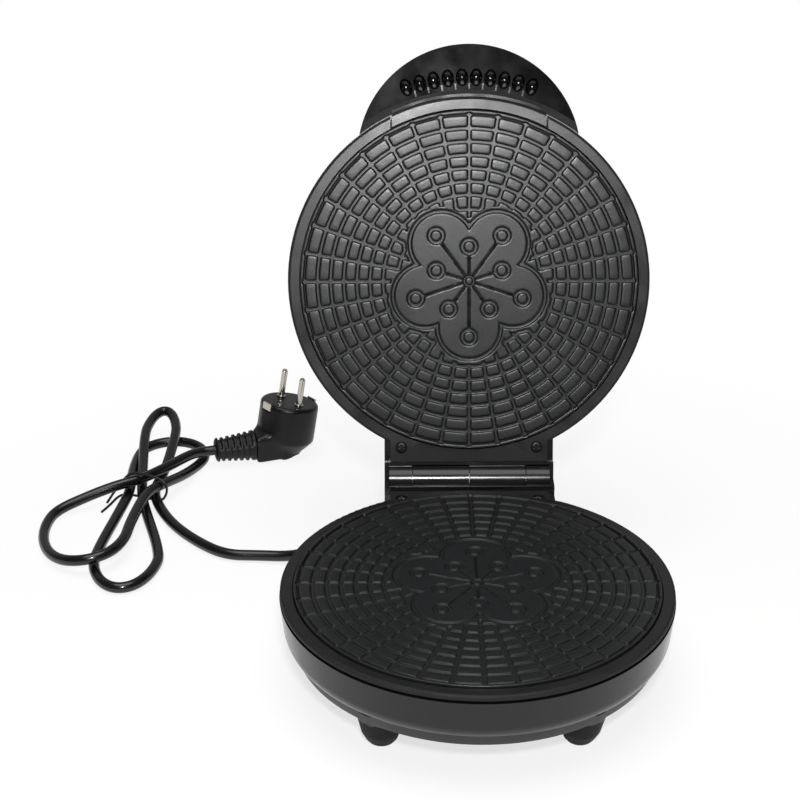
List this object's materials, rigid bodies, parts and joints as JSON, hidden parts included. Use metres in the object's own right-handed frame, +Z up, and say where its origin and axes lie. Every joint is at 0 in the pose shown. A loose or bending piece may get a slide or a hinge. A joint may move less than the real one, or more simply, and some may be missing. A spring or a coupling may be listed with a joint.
{
  "type": "waffle cone maker",
  "caption": "Round electric waffle cone maker standing open: hinged lid with handle, patterned non-stick plates, feet, and a tied mains lead with an angled plug.",
  "frame": {"origin": "on the table surface under the middle of the lower plate, which is the middle of the base bowl", "axes": "+Z up from the table, -Y towards the handle side when the lid is shut, +X along the hinge axis; the lid is stored open on its stop"},
  "size_m": [0.3679, 0.407, 0.294],
  "materials": {
    "housing": "satin",
    "underside": "satin",
    "trim": "fine textured",
    "plate": "non-stick coated",
    "handle": "glossy",
    "steel": "plain",
    "aluminium": "plain",
    "fuse": "woven sleeve",
    "brass": "plain",
    "terminal": "matte",
    "sleeve": "matte",
    "lens": "clear tinted",
    "lamp": "clear",
    "cord": "smooth glossy",
    "tie": "coated wire",
    "plug": "moulded satin",
    "nickel": "nickel plated"
  },
  "bodies": {
    "base": {"base_leads": "sleeve", "base_ring": "trim", "base_ring_screws": "steel", "base_shell": "housing", "bottom_cover": "underside", "bottom_cover_screws": "steel", "cord_clamp": "steel", "cord_clamp_screws": "steel", "cord_gland": "cord", "cord_tie": "tie", "earth_tag": "brass", "hinge_lead_sleeve": "sleeve", "hinge_pins": "steel", "lower_element_clamps": "steel", "lower_heat_shield": "steel", "lower_heating_element": "steel", "lower_plate": "plate", "lower_plate_screws": "steel", "lower_shield_posts": "steel", "lower_shield_screws": "steel", "lower_thermostat": "aluminium", "plug_body": "plug", "plug_boot": "plug", "plug_earth_clips": "nickel", "plug_pins": "nickel", "power_cord_hank": "cord", "power_cord_lead": "cord", "power_cord_tail": "cord", "terminal_block": "terminal", "terminal_screws": "steel", "thermal_fuse": "fuse"},
    "lid": {"handle_lower": "handle", "handle_screws": "steel", "handle_upper": "handle", "indicator_lamps": "lamp", "indicator_lenses": "lens", "lid_cover": "housing", "lid_cover_screws": "steel", "lid_leads": "sleeve", "lid_ring": "trim", "lid_ring_screws": "steel", "lid_shell": "housing", "upper_element_clamps": "steel", "upper_heat_shield": "steel", "upper_heating_element": "steel", "upper_plate": "plate", "upper_plate_screws": "steel", "upper_shield_posts": "steel", "upper_shield_screws": "steel", "upper_thermostat": "aluminium"}
  },
  "joints": [
    {"name": "lid_hinge", "type": "hinge", "parent": "base", "child": "lid", "pos_m": [0, 0.1157, 0.058], "axis": [1, 0, 0], "range_deg": [0, 108.8]}
  ]
}
